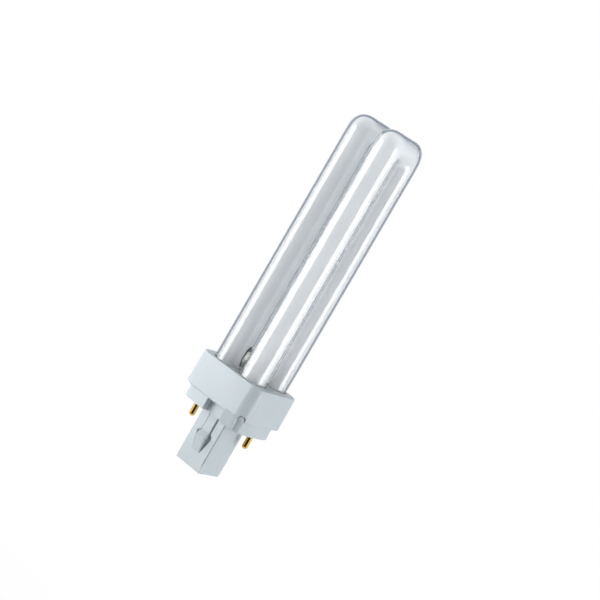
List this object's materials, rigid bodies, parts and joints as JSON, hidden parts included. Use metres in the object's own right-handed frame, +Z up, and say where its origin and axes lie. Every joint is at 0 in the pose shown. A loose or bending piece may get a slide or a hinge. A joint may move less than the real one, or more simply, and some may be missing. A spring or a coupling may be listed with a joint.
{
  "type": "compact fluorescent lamp",
  "caption": "Plug-in compact fluorescent lamp: folded white glass tube in a moulded collar, with a square post, keyways and brass contact pins below.",
  "frame": {"origin": "on the lamp's axis, in the plane of the step's underside, which seats on the lampholder", "axes": "+Z runs up the lamp to the tube tops; -Y faces the viewer, with the keyway; +X to the right"},
  "size_m": [0.035, 0.0296, 0.153],
  "materials": {
    "phosphor_glass": "clear glass, coated white on its inside",
    "clear_glass": "clear",
    "white_plastic": "moulded, low gloss",
    "brass": "drawn, bright",
    "lead_wire": "nickel plated wire",
    "coil_coating": "white oxide coating on tungsten",
    "cement": "set basing cement, matt",
    "amalgam": "dull silver",
    "bimetal": "rolled strip",
    "capacitor_dip": "dipped resin"
  },
  "bodies": {
    "root": {"discharge_tube": "phosphor_glass", "collar": "white_plastic", "plug_base": "white_plastic", "tube_cement": "cement", "amalgam_pellet": "amalgam", "starter_bottle": "clear_glass", "starter_bimetal": "bimetal", "starter_contact": "lead_wire", "capacitor": "capacitor_dip", "capacitor_leads": "lead_wire", "contact_pin_left": "brass", "electrode_coil_left": "coil_coating", "electrode_bead_left": "clear_glass", "pin_lead_left": "lead_wire", "starter_lead_left": "lead_wire", "crimp_sleeve_left": "brass", "contact_pin_right": "brass", "electrode_coil_right": "coil_coating", "electrode_bead_right": "clear_glass", "pin_lead_right": "lead_wire", "starter_lead_right": "lead_wire", "crimp_sleeve_right": "brass"}
  },
  "joints": []
}
